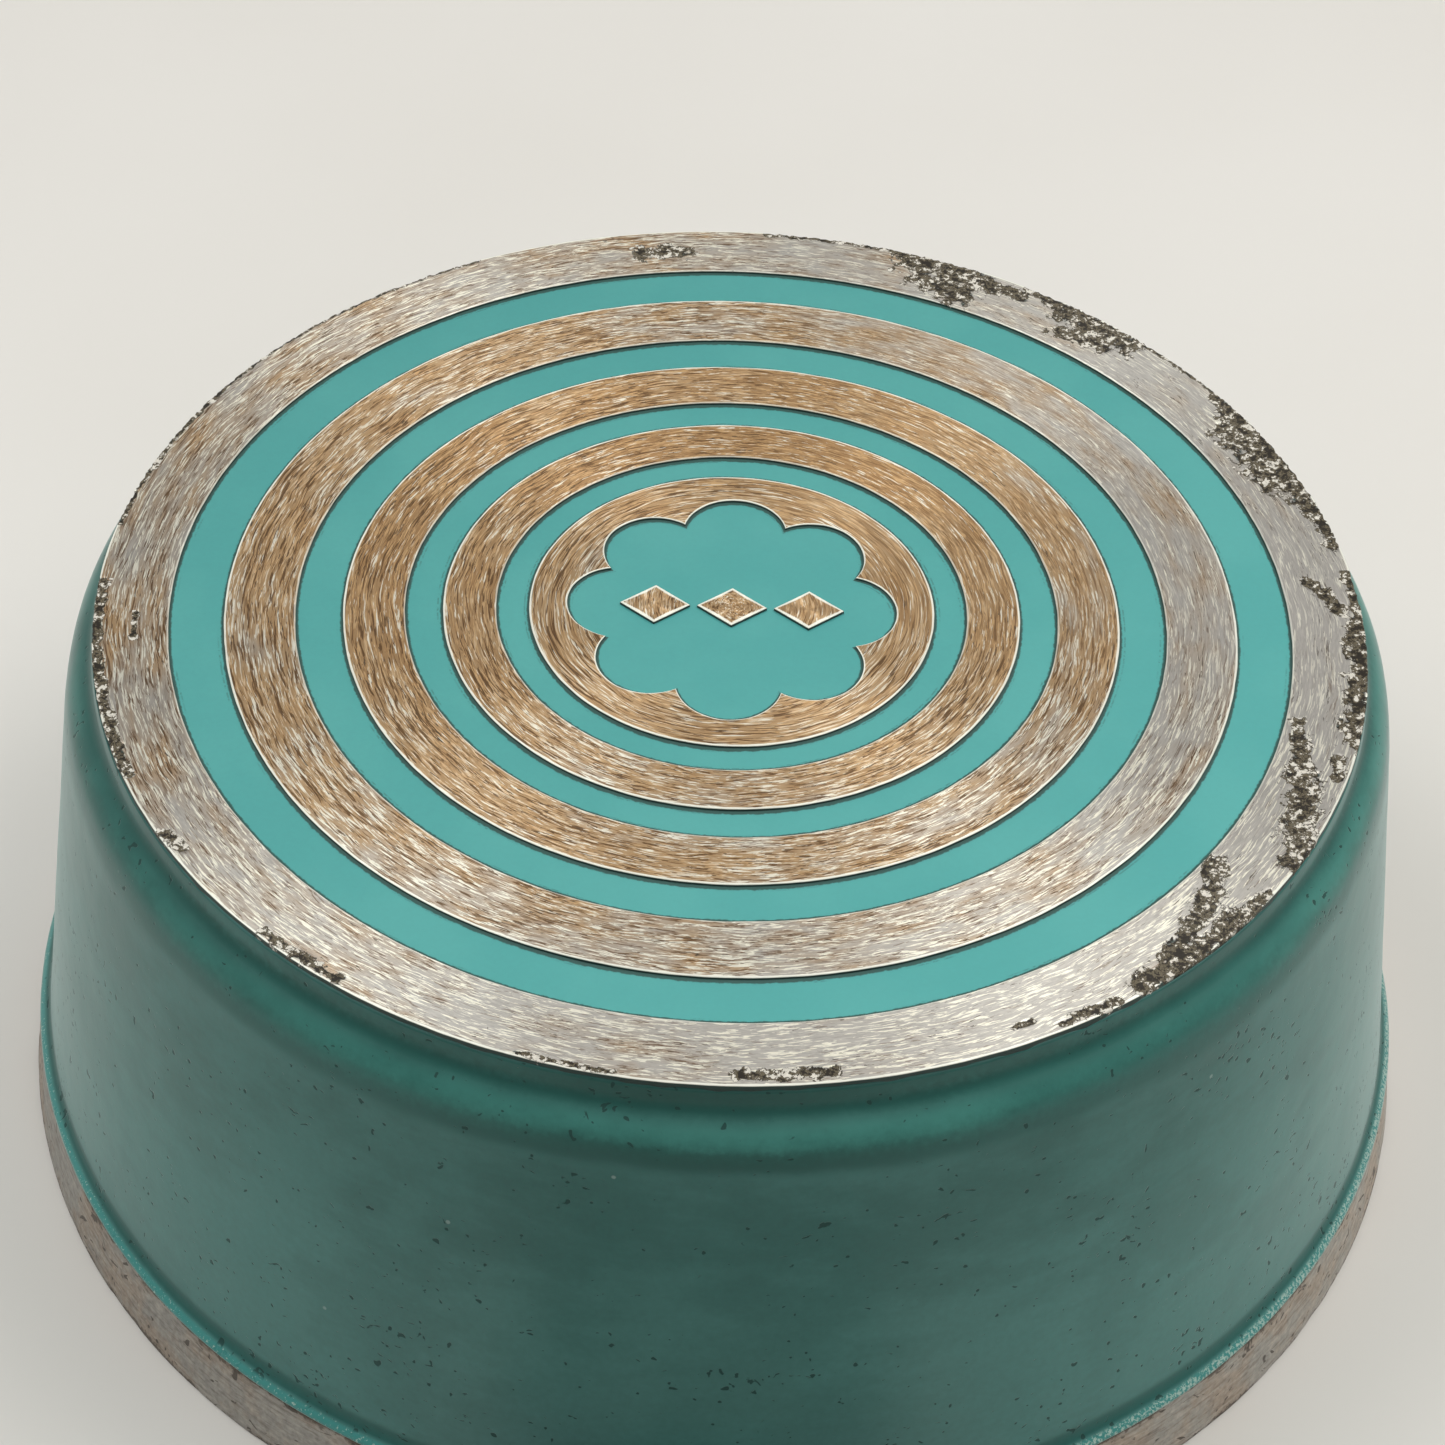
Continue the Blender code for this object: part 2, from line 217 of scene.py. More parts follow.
class Field:
    """One value in a material's node graph. Arithmetic on it adds Math nodes."""

    def __init__(self, graph, socket):
        self.graph = graph
        self.socket = socket

    def __add__(self, other):
        return self.graph.math("ADD", self, other)

    def __sub__(self, other):
        return self.graph.math("SUBTRACT", self, other)

    def __rsub__(self, other):
        return self.graph.math("SUBTRACT", other, self)

    def __mul__(self, other):
        return self.graph.math("MULTIPLY", self, other)

    def __truediv__(self, other):
        return self.graph.math("DIVIDE", self, other)

    __radd__ = __add__
    __rmul__ = __mul__


class Graph:
    """A Principled material being built, with short calls for the nodes used here."""

    def __init__(self, name):
        self.material = bpy.data.materials.new(name)
        self.material.use_nodes = True
        self.tree = self.material.node_tree
        self.tree.nodes.clear()
        self.shader = self.add("ShaderNodeBsdfPrincipled")
        output = self.add("ShaderNodeOutputMaterial")
        self.tree.links.new(self.shader.outputs["BSDF"], output.inputs["Surface"])
        self.place = Field(self, self.add("ShaderNodeTexCoord").outputs["Object"])
        split = self.add("ShaderNodeSeparateXYZ")
        self.put(self.place, split.inputs[0])
        self.x, self.y, self.z = [Field(self, socket) for socket in split.outputs]

    def add(self, kind, **settings):
        node = self.tree.nodes.new(kind)
        for key, value in settings.items():
            setattr(node, key, value)
        return node

    def put(self, value, socket):
        """Links a field to a socket, or sets the socket to a constant."""
        if isinstance(value, Field):
            self.tree.links.new(value.socket, socket)
        elif isinstance(value, tuple) and len(value) == 3 and len(socket.default_value) == 4:
            socket.default_value = (*value, 1.0)
        else:
            socket.default_value = value

    def math(self, operation, first, second=None):
        node = self.add("ShaderNodeMath", operation=operation)
        self.put(first, node.inputs[0])
        if second is not None:
            self.put(second, node.inputs[1])
        return Field(self, node.outputs[0])

    def most(self, first, second):
        return self.math("MAXIMUM", first, second)

    def between(self, value, low, high):
        """0 at low and 1 at high, smooth between them; low may be above high."""
        node = self.add("ShaderNodeMapRange", interpolation_type="SMOOTHSTEP")
        self.put(value, node.inputs["Value"])
        flip = low > high
        node.inputs["From Min"].default_value = min(low, high)
        node.inputs["From Max"].default_value = max(low, high)
        node.inputs["To Min"].default_value = 1.0 if flip else 0.0
        node.inputs["To Max"].default_value = 0.0 if flip else 1.0
        return Field(self, node.outputs["Result"])

    def point(self, x, y, z):
        node = self.add("ShaderNodeCombineXYZ")
        for value, socket in zip((x, y, z), node.inputs):
            self.put(value, socket)
        return Field(self, node.outputs[0])

    def polar(self):
        """Distance from the pot's axis, and the cosine and sine of the angle round it."""
        radius = self.math("SQRT", self.x * self.x + self.y * self.y)
        return radius, self.x / radius, self.y / radius

    def noise(self, size, detail=3.0, roughness=0.55, place=None):
        """Noise of about 0 to 1 around 0.5, with features of the given size."""
        node = self.add("ShaderNodeTexNoise")
        self.put(place or self.place, node.inputs["Vector"])
        node.inputs["Scale"].default_value = 1.0 / size
        node.inputs["Detail"].default_value = detail
        node.inputs["Roughness"].default_value = roughness
        return Field(self, node.outputs["Fac"])

    def cells(self, size):
        """Distance to the nearest of many scattered points, which lie about the given size apart."""
        node = self.add("ShaderNodeTexVoronoi", feature="F1")
        self.put(self.place, node.inputs["Vector"])
        node.inputs["Scale"].default_value = 1.0 / size
        return Field(self, node.outputs["Distance"])

    def stored(self, name):
        """A number stored on the mesh's points."""
        return Field(self, self.add("ShaderNodeAttribute", attribute_name=name).outputs["Fac"])

    def mix(self, share, first, second):
        """Goes from the first colour to the second as share goes from 0 to 1."""
        node = self.add("ShaderNodeMix", data_type="RGBA")
        factor, _, _, _, _, _, a, b = node.inputs[:8]
        self.put(share, factor)
        self.put(first, a)
        self.put(second, b)
        return Field(self, node.outputs[2])

    def shade(self, colour, factor):
        """The colour with its brightness multiplied by a factor."""
        node = self.add("ShaderNodeVectorMath", operation="SCALE")
        self.put(colour, node.inputs[0])
        self.put(factor, node.inputs["Scale"])
        return Field(self, node.outputs[0])

    def bump(self, height, depth, strength=1.0):
        """A normal from a height of 0 to 1 that stands for the given depth."""
        node = self.add("ShaderNodeBump")
        node.inputs["Strength"].default_value = strength
        node.inputs["Distance"].default_value = depth
        self.put(height, node.inputs["Height"])
        self.put(Field(self, node.outputs["Normal"]), self.shader.inputs["Normal"])

    def brushed_round(self, amount):
        """Stretches highlights as marks turned round the axis do."""
        tangent = self.add("ShaderNodeTangent", direction_type="RADIAL", axis="Z")
        self.put(Field(self, tangent.outputs[0]), self.shader.inputs["Tangent"])
        self.shader.inputs["Anisotropic"].default_value = amount
        self.shader.inputs["Anisotropic Rotation"].default_value = 0.25

    def finish(self, **inputs):
        """Sets the shader's inputs by name and returns the material."""
        for name, value in inputs.items():
            self.put(value, self.shader.inputs[name.replace("_", " ")])
        return self.material


# ---- Materials -------------------------------------------------------------------------

SILVER = (0.50, 0.48, 0.445)
CREAM = (0.87, 0.845, 0.73)
TAN = (0.47, 0.32, 0.175)
AMBER = (0.64, 0.42, 0.21)
RUST = (0.38, 0.215, 0.090)
BROWN = (0.13, 0.068, 0.028)
SOOT = (0.060, 0.048, 0.036)
# near-white of worn bare edges, with a painted highlight in it
WORN_EDGE_HIGHLIGHT = (0.92, 0.93, 0.83)
CRUST_TONES = (0.022, 0.017, 0.011), (0.140, 0.117, 0.076), (0.68, 0.65, 0.58)


def turned_marks(graph, around, length, width, shift):
    """Noise drawn out into short marks, nearly along circles round the axis, longest on the -X and +X sides.

    around is the radius of the middle of the marked ring. Each shift gives marks of its own.
    """
    radius, cosine, sine = graph.polar()
    drift = graph.noise(11.0 * MM, 1.0, 0.5, graph.point(graph.x + shift, graph.y, graph.z)) * (2.4 * MM)
    turns = around / length
    place = graph.point(cosine * (turns * 1.15), sine * (turns * 0.65), (radius + drift) / width)
    return graph.noise(1.0, 2.0, 0.6, place)


def add_crust(graph, colour, height):
    """Corroded metal where the decay number is high: dark pits and cracks, olive crust and bare specks."""
    spots = graph.noise(1.7 * MM, 5.0, 0.68)
    grit = graph.noise(0.60 * MM, 3.0, 0.65, graph.point(graph.x + 1.0, graph.y, graph.z))
    depth = graph.stored("decay") + (spots - 0.5) * 1.9
    here = graph.between(depth, 0.38, 0.42)
    border = here * graph.between(depth, 0.50, 0.42)
    pit, crust, bright = CRUST_TONES
    uneven = spots + (grit - 0.5) * 0.35
    tone = graph.mix(graph.between(uneven, 0.45, 0.49), pit, crust)
    tone = graph.mix(graph.between(uneven, 0.555, 0.575), tone, bright)
    crack = graph.between(graph.math("ABSOLUTE", uneven - 0.555), 0.018, 0.007)
    tone = graph.mix(graph.most(border * 0.85, crack), tone, pit)
    tone = graph.shade(tone, 0.65 + grit * 0.70)
    height = height * (1.0 - here) + here * uneven * 3.0
    return here, graph.mix(here, colour, tone), height


def machined_metal(name, around, stain, left, rear, inner_line=0.6, decayed=False):
    """Turned aluminium, browned by heat: short bright and brown marks, pale bare edges with a painted
    highlight, grime and painted shade on the sides below them.

    stain goes from 0, silver, to 1, brown. left and rear are how much browner the -X and +Y sides are.
    """
    graph = Graph(name)
    _, cosine, sine = graph.polar()
    streaks = turned_marks(graph, around, 5.6 * MM, 0.40 * MM, 3.0)
    pale_marks = turned_marks(graph, around, 4.2 * MM, 0.35 * MM, 0.0)
    marks = turned_marks(graph, around, 3.6 * MM, 0.33 * MM, 1.0)
    fine = turned_marks(graph, around, 2.2 * MM, 0.26 * MM, 2.0)
    patches = graph.noise(26.0 * MM, 3.0, 0.6)
    blotches = turned_marks(graph, around, 12.0 * MM, 3.6 * MM, 4.0)
    brownness = stain + (patches - 0.5) * 1.2 + (blotches - 0.5) * 1.5 - cosine * left + sine * rear

    colour = graph.mix(graph.between(brownness, -0.1, 1.0), SILVER, TAN)
    colour = graph.mix(graph.between(brownness, 0.9, 1.6) * 0.75, colour, RUST)
    halo = graph.between(streaks, 0.48, 0.57) * graph.between(brownness, 0.2, 1.0)
    colour = graph.mix(halo * 0.55, colour, RUST)
    amber = graph.between(pale_marks, 0.50, 0.56) * graph.between(brownness, 0.5, 1.1)
    colour = graph.mix(amber * 0.8, colour, AMBER)
    smooth = graph.between(cosine * 0.8 + sine * 0.6, 0.50, 0.95)
    pale = graph.between(pale_marks, 0.565, 0.585) * graph.between(brownness, 1.4, 0.5)
    pale = pale * (1.0 - smooth * 0.65)
    colour = graph.mix(pale, colour, CREAM)
    dark = graph.between(streaks, 0.585, 0.605) * graph.between(brownness, 0.0, 0.8)
    dark = graph.most(dark, graph.between(marks, 0.60, 0.62) * graph.between(brownness, -0.5, 0.5))
    colour = graph.mix(dark * (0.9 - smooth * 0.45), colour, BROWN)
    scratch = graph.between(fine, 0.62, 0.65) * graph.between(blotches, 0.40, 0.62)
    colour = graph.mix(scratch * 0.85, colour, SOOT)
    glint = graph.between(streaks, 0.41, 0.385) * graph.between(fine, 0.45, 0.52)
    colour = graph.mix(glint * 0.8, colour, CREAM)
    colour = graph.shade(colour, 0.60 + fine * 0.80)

    metal = graph.between(brownness, 1.2, 0.0) * 0.30 + 0.60
    gloss = 0.40 + brownness * 0.06 + (fine - 0.5) * 0.30
    height = pale_marks * 0.5 + fine * 0.5
    if decayed:
        here, colour, height = add_crust(graph, colour, height)
        metal = metal * (1.0 - here * 0.8)
        gloss = gloss + here * 0.25

    wear = (marks - 0.5) * (0.20 * MM)
    # worn bare edges, painted near-white so that they also stand for the highlight on the rounded corners
    outer_edge_highlight = graph.between(graph.stored("outer_edge") + wear, 0.46 * MM, 0.26 * MM)
    edge_highlight = graph.between(graph.stored("edge") + wear, 0.38 * MM, 0.20 * MM) * inner_line
    line = graph.most(outer_edge_highlight, edge_highlight)
    if decayed:
        line = line * (1.0 - here)
    colour = graph.mix(line * 0.92, colour, WORN_EDGE_HIGHLIGHT)
    # painted shade with grime: the land's sides below the top are coloured dark and made non-metallic
    below = graph.between(graph.z, TOP_Z - 0.06 * MM, TOP_Z - 0.20 * MM)
    if decayed:
        below = below * (1.0 - here)
    colour = graph.mix(below, colour, (0.014, 0.040, 0.034))
    graph.bump(height, 0.05 * MM, 0.55)
    graph.brushed_round(0.9)
    metal = metal * (1.0 - below) * (1.0 - line * 0.6)
    return graph.finish(Base_Color=colour, Metallic=metal, Roughness=gloss)


def rim_metal():
    """The bare band above the rim: grey cast metal mottled with brown and scarred, with painted shade along
    its edges and painted light towards +X.
    """
    graph = Graph("rim_metal")
    _, cosine, sine = graph.polar()
    cloud = graph.noise(13.0 * MM, 4.0, 0.65)
    grain = graph.noise(1.3 * MM, 4.0, 0.65)
    lines = graph.noise(1.0, 3.0, 0.6, graph.point(cosine * 22.0, sine * 22.0, graph.z / (0.7 * MM)))
    colour = graph.mix(graph.between(cloud, 0.42, 0.60), (0.40, 0.385, 0.355), (0.42, 0.355, 0.295))
    colour = graph.mix(graph.between(lines, 0.52, 0.66) * 0.5, colour, (0.56, 0.52, 0.46))
    colour = graph.mix(graph.between(lines, 0.46, 0.36) * 0.4, colour, (0.17, 0.135, 0.105))
    # grain tone, and painted light: the band is brighter towards +X
    colour = graph.shade(colour, 0.45 + grain * 1.10 + graph.x * 1.0)

    slant = (graph.noise(9.0 * MM, 1.0) - 0.5) * 9.0
    scars = graph.noise(1.0, 2.0, 0.55, graph.point(cosine * 34.0, sine * 34.0, graph.z / (1.5 * MM) + slant))
    scar = graph.between(scars + (cloud - 0.5) * 0.25, 0.650, 0.680)
    pits = graph.cells(2.1 * MM) + (grain - 0.5) * 0.5
    pit = graph.most(graph.between(pits, 0.22, 0.12) * graph.between(cloud, 0.50, 0.60), scar)
    colour = graph.mix(pit * 0.85, colour, (0.050, 0.036, 0.026))
    # painted shade: a ragged dark line under the bead, and a painted contact shadow along the band's foot
    wander = (grain - 0.5) * (4.5 * MM) + (cloud - 0.5) * (5.0 * MM)
    shade_under_bead = graph.between(graph.z + wander, BAND_Z - 0.9 * MM, BAND_Z + 0.1 * MM)
    contact_shadow = graph.between(graph.z - wander, 1.0 * MM, 0.2 * MM)
    colour = graph.mix(graph.most(shade_under_bead, contact_shadow) * 0.75, colour, (0.060, 0.045, 0.033))
    graph.bump(grain * 0.7 + lines * 0.2 - pit * 0.8, 0.14 * MM, 0.7)
    graph.brushed_round(0.3)
    metal = 0.70 - pit * 0.6
    return graph.finish(Base_Color=colour, Metallic=metal, Roughness=0.44 + grain * 0.2)


def inside_metal():
    """The inside of the pot: turned aluminium, dulled by use, with faint rings and stains."""
    graph = Graph("inside_metal")
    radius, cosine, sine = graph.polar()
    cloud = graph.noise(35.0 * MM, 4.0, 0.6)
    grain = graph.noise(1.1 * MM, 3.0, 0.6)
    rings = graph.noise(1.0, 2.0, 0.6, graph.point(cosine * 3.0, sine * 3.0,
                                                  (radius - graph.z) / (0.6 * MM)))
    colour = graph.mix(graph.between(cloud, 0.35, 0.68), (0.50, 0.49, 0.46), (0.36, 0.33, 0.28))
    spots = graph.between(graph.cells(9.0 * MM) + (grain - 0.5) * 0.3, 0.16, 0.08)
    colour = graph.mix(spots * 0.5, colour, (0.20, 0.18, 0.15))
    colour = graph.shade(colour, 0.80 + rings * 0.40)
    graph.bump(rings * 0.5 + grain * 0.5, 0.05 * MM, 0.5)
    graph.brushed_round(0.5)
    return graph.finish(Base_Color=colour, Metallic=0.9, Roughness=0.36 + cloud * 0.22)


def wall_enamel():
    """Dark turquoise enamel with a painted grey haze of reflection and bands of painted light and shade,
    small dark pits and chips along the bead.
    """
    graph = Graph("wall_enamel")
    radius, cosine, sine = graph.polar()
    cloud = graph.noise(28.0 * MM, 3.0, 0.55)
    haze = graph.noise(60.0 * MM, 2.0, 0.5)
    grain = graph.noise(1.3 * MM, 3.0, 0.6)
    smear = graph.noise(1.0, 3.0, 0.6, graph.point(cosine * 9.0, sine * 9.0, graph.z / (5.0 * MM)))
    # the first colour is painted light, the lit teal of the up-facing shoulder; the third is a painted
    # reflection, the grey haze of the floor in the glaze
    lit_teal, deep, reflected_grey = (0.048, 0.220, 0.188), (0.010, 0.088, 0.075), (0.062, 0.212, 0.194)
    level = graph.z + (grain - 0.5) * (1.5 * MM) + (cloud - 0.5) * (3.0 * MM)
    low = graph.between(level, TOP_Z - 12.0 * MM, TOP_Z - 15.5 * MM)
    foot = graph.between(graph.z, 80.0 * MM, 25.0 * MM)
    cloudy = graph.between(cloud + (smear - 0.5) * 0.6, 0.35, 0.65)
    # painted reflection: the grey haze is mixed in patchily below the shoulder, with more of it towards the
    # foot as painted light
    share = low * (0.36 + cloudy * 0.26 + (haze - 0.5) * 0.5 + foot * 0.5)
    colour = graph.mix(share, deep, reflected_grey)
    # painted light: a brighter band on the up-facing shoulder, stronger towards +X
    ledge = graph.between(level, TOP_Z - 4.5 * MM, TOP_Z - 7.5 * MM)
    ledge = ledge * graph.between(level, TOP_Z - 12.5 * MM, TOP_Z - 8.0 * MM)
    colour = graph.mix(ledge * (0.46 + cloudy * 0.40 + graph.x * 2.0), colour, lit_teal)
    # painted shade: a darker band just below the base's edge
    shaded_top_band = graph.between(graph.z + (grain - 0.5) * (3.0 * MM), TOP_Z - 5.5 * MM, TOP_Z - 2.5 * MM)
    colour = graph.mix(shaded_top_band * 0.35, colour, (0.012, 0.080, 0.068))
    # painted reflection and shade: the shoulder's stripe is darker at front and back and greyer on the sides,
    # and the band below the edge is lighter on the sides
    aside = graph.between(graph.math("ABSOLUTE", cosine), 0.05, 0.55)
    stripe = graph.between(level, TOP_Z - 9.2 * MM, TOP_Z - 10.8 * MM)
    stripe = stripe * graph.between(level, TOP_Z - 14.5 * MM, TOP_Z - 12.0 * MM)
    colour = graph.mix(stripe * (1.0 - aside) * 0.7, colour, deep)
    colour = graph.mix(stripe * aside * 0.25, colour, reflected_grey)
    colour = graph.mix(shaded_top_band * aside * (0.25 + cloudy * 0.35), colour, (0.050, 0.205, 0.185))
    # painted shade in the hollow above the bead
    crease = graph.between(graph.z, BAND_Z + 5.6 * MM, BAND_Z + 3.8 * MM)
    crease = crease * graph.between(graph.z, BAND_Z + 1.9 * MM, BAND_Z + 2.5 * MM)
    colour = graph.mix(crease * 0.85, colour, (0.012, 0.098, 0.086))
    # painted light: the wall's foot is lighter in front of each grip
    painted_light_by_grips = graph.between(graph.math("ABSOLUTE", sine), 0.90, 1.0) * foot
    colour = graph.mix(painted_light_by_grips * 0.55, colour, (0.105, 0.262, 0.238))
    # grain tone, and painted light: the wall is brighter towards +X
    colour = graph.shade(colour, 0.80 + grain * 0.30 + smear * 0.10 + graph.x * 0.5)

    slant = (graph.noise(5.0 * MM, 1.0) - 0.5) * 6.0
    drawn = graph.point(cosine * 52.0, sine * 52.0, graph.z / (0.9 * MM) + slant)
    pits = graph.noise(1.0, 2.0, 0.5, drawn)
    crowd = graph.noise(13.0 * MM, 3.0, 0.6)
    near_foot = graph.between(graph.z, 45.0 * MM, BAND_Z)
    crowded = (crowd - 0.5) * 0.35 + near_foot * 0.030 + graph.math("ABSOLUTE", cosine) * 0.020
    dots = graph.noise(1.7 * MM, 1.0, 0.5) + crowded
    pit = graph.most(graph.between(pits + crowded, 0.722, 0.755), graph.between(dots, 0.738, 0.766))
    colour = graph.mix(pit * 0.85, colour, (0.009, 0.048, 0.042))

    dust = graph.cells(16.0 * MM)
    fleck = graph.between(dust + (grain - 0.5) * 0.03, 0.030, 0.015)
    colour = graph.mix(fleck * 0.5, colour, (0.35, 0.45, 0.42))

    # painted highlight: brighter teal along the bead's crest
    crest = graph.between(radius, BAND_R - 0.95 * MM, BAND_R - 0.35 * MM)
    bead = crest * graph.between(graph.z, BAND_Z + 3.0 * MM, BAND_Z + 1.8 * MM)
    chips = graph.noise(0.55 * MM, 3.0, 0.7)
    right = graph.between(cosine - sine * 0.4, 0.45, 1.0)
    chip = bead * graph.between(chips + right * 0.11, 0.60, 0.66)
    colour = graph.mix(bead * 0.75, colour, (0.055, 0.300, 0.280))
    colour = graph.mix(chip * 0.9, colour, (0.44, 0.60, 0.54))

    graph.bump(grain * 0.35 + cloud * 0.4 - pit * 0.9 - chip, 0.10 * MM, 0.5)
    gloss = 0.34 + cloud * 0.14 + grain * 0.08 + pit * 0.25 - bead * 0.12
    graph.shader.inputs["IOR"].default_value = 1.42
    graph.shader.inputs["Sheen Weight"].default_value = 0.62
    graph.shader.inputs["Sheen Roughness"].default_value = 0.32
    graph.shader.inputs["Sheen Tint"].default_value = (0.88, 1.0, 0.98, 1.0)
    return graph.finish(Base_Color=colour, Metallic=0.0, Roughness=gloss)


def groove_enamel():
    """Bright turquoise enamel with painted light, brighter towards the front right, with rare pale specks and
    edges darkened by grime and painted shade.
    """
    graph = Graph("groove_enamel")
    cloud = graph.noise(24.0 * MM, 3.0, 0.5)
    grain = graph.noise(0.9 * MM, 3.0, 0.6)
    colour = graph.mix(graph.between(cloud, 0.32, 0.68), (0.056, 0.312, 0.300), (0.068, 0.334, 0.318))
    # grain tone, and painted light: brighter towards the front and the right
    colour = graph.shade(colour, 0.97 + grain * 0.12 + graph.x * 0.7 - graph.y * 0.8)
    speck = graph.cells(24.0 * MM)
    fleck = graph.between(speck + (grain - 0.5) * 0.03, 0.024, 0.012)
    colour = graph.mix(fleck * 0.6, colour, (0.62, 0.72, 0.68))
    edge = graph.stored("edge")
    _, _, sine = graph.polar()
    # grime with painted shade: darker enamel beside the lands, wider towards front and back
    spread = graph.math("ABSOLUTE", sine) * (0.28 * MM)
    dirt_and_shade = graph.between(edge - spread + (grain - 0.5) * (0.6 * MM), 0.58 * MM, 0.28 * MM)
    from_tide = graph.math("ABSOLUTE", edge + (cloud - 0.5) * (0.8 * MM) - 0.95 * MM)
    patchy = graph.between(graph.noise(12.0 * MM, 2.0), 0.52, 0.62) * graph.between(grain, 0.42, 0.56)
    tide = graph.between(from_tide, 0.22 * MM, 0.08 * MM) * patchy
    colour = graph.mix(graph.most(dirt_and_shade * 0.94, tide * 0.40), colour, (0.013, 0.062, 0.052))
    graph.bump(grain * 0.5 + cloud * 0.5, 0.03 * MM, 0.4)
    return graph.finish(Base_Color=colour, Metallic=0.0, Roughness=0.46 + grain * 0.12)


def phenolic():
    """Black moulded phenolic, patchily browned, dulled and scuffed by heat and hands."""
    graph = Graph("black_phenolic")
    cloud = graph.noise(14.0 * MM, 3.0, 0.6)
    grain = graph.noise(0.5 * MM, 3.0, 0.6)
    colour = graph.mix(graph.between(cloud, 0.38, 0.66), (0.010, 0.0095, 0.009), (0.026, 0.021, 0.017))
    scuffs = graph.noise(1.0, 3.0, 0.7, graph.point(graph.x / (5.0 * MM), graph.y / (0.4 * MM),
                                                   graph.z / (0.4 * MM)))
    scuff = graph.between(scuffs, 0.62, 0.74)
    colour = graph.mix(scuff * 0.35, colour, (0.085, 0.075, 0.065))
    graph.bump(grain * 0.6 - scuff * 0.4, 0.03 * MM, 0.35)
    gloss = 0.24 + cloud * 0.20 + scuff * 0.25
    return graph.finish(Base_Color=colour, Metallic=0.0, Roughness=gloss)


def stamped_aluminium():
    """Thin rolled sheet: fine marks along the sheet, dull grey with dark spots."""
    graph = Graph("stamped_aluminium")
    rolled = graph.noise(1.0, 3.0, 0.6, graph.point(graph.x / (9.0 * MM), graph.y / (0.5 * MM),
                                                   graph.z / (0.25 * MM)))
    cloud = graph.noise(8.0 * MM, 3.0, 0.6)
    colour = graph.mix(graph.between(cloud, 0.36, 0.66), (0.62, 0.61, 0.58), (0.42, 0.40, 0.36))
    colour = graph.shade(colour, 0.82 + rolled * 0.36)
    spots = graph.between(graph.cells(3.0 * MM) + (rolled - 0.5) * 0.4, 0.16, 0.08)
    colour = graph.mix(spots * 0.6, colour, (0.13, 0.11, 0.09))
    graph.bump(rolled - spots * 0.5, 0.03 * MM, 0.5)
    return graph.finish(Base_Color=colour, Metallic=0.95, Roughness=0.30 + cloud * 0.24)


def plated_steel():
    """Dulled plated steel with freckles of rust where the plating is thin."""
    graph = Graph("plated_steel")
    grain = graph.noise(0.8 * MM, 3.0, 0.6)
    cloud = graph.noise(3.0 * MM, 3.0, 0.6)
    colour = graph.mix(graph.between(cloud, 0.36, 0.66), (0.60, 0.58, 0.53), (0.44, 0.41, 0.36))
    rust = graph.between(grain + (cloud - 0.5) * 0.6, 0.60, 0.70)
    colour = graph.mix(rust * 0.8, colour, (0.16, 0.075, 0.035))
    graph.bump(grain + rust * 0.5, 0.03 * MM, 0.4)
    metal = 0.95 - rust * 0.7
    return graph.finish(Base_Color=colour, Metallic=metal, Roughness=0.26 + rust * 0.4)


def pale_floor():
    """A smooth pale surface, with the faintest cloudiness."""
    graph = Graph("pale_floor")
    cloud = graph.noise(0.25, 3.0, 0.5)
    grain = graph.noise(1.5 * MM, 3.0, 0.6)
    colour = graph.mix(graph.between(cloud, 0.3, 0.7), (0.702, 0.684, 0.648), (0.737, 0.722, 0.690))
    graph.bump(grain, 0.05 * MM, 0.2)
    return graph.finish(Base_Color=colour, Metallic=0.0, Roughness=0.42 + grain * 0.06)


# ---- The machined base -----------------------------------------------------------------

# Corroded stretches of the outer land: angle and radius (degrees, mm) of both ends, then half width (mm)
CORROSION = (
    (-60.0, 107.2, -55.0, 107.4, 0.8), (-51.6, 107.2, -40.0, 107.2, 2.0), (-48.0, 105.0, -43.0, 103.0, 1.5),
    (-43.0, 103.0, -36.0, 98.0, 1.7), (-38.5, 107.6, -36.0, 107.6, 0.8), (-31.0, 107.2, -25.0, 103.6, 2.3),
    (-25.0, 103.6, -20.0, 101.0, 2.3), (-20.0, 101.0, -14.0, 98.0, 1.3), (-19.5, 107.4, -17.5, 106.2, 1.2),
    (-14.5, 107.3, 0.0, 107.3, 2.0), (0.0, 107.8, 8.0, 107.8, 1.0), (3.0, 105.0, 7.0, 101.0, 1.3),
    (12.0, 107.6, 36.0, 107.6, 1.3), (17.0, 107.0, 33.0, 106.6, 2.2), (22.0, 104.2, 31.0, 103.0, 2.6),
    (36.0, 108.2, 46.0, 108.2, 0.6), (47.5, 105.8, 55.0, 106.0, 2.8), (49.0, 102.4, 54.0, 100.0, 1.8),
    (55.0, 107.6, 60.0, 107.6, 1.2), (60.5, 105.8, 63.5, 105.2, 1.6), (66.0, 106.2, 73.0, 105.6, 2.6),
    (66.0, 100.6, 70.5, 101.4, 2.6), (73.0, 108.2, 88.0, 108.2, 0.7), (97.0, 102.2, 101.0, 102.0, 1.7),
    (118.0, 108.3, 165.0, 108.3, 0.4), (150.0, 108.2, 172.0, 108.2, 0.5), (180.0, 107.7, 206.0, 107.6, 0.9),
    (184.5, 101.4, 188.0, 101.7, 0.5), (214.0, 107.3, 216.5, 107.0, 0.9), (229.0, 107.4, 237.0, 107.4, 0.8),
    (272.0, 106.4, 280.0, 106.6, 0.9), (254.0, 107.8, 262.0, 107.8, 0.4), (296.0, 105.0, 297.5, 105.0, 0.5),
)


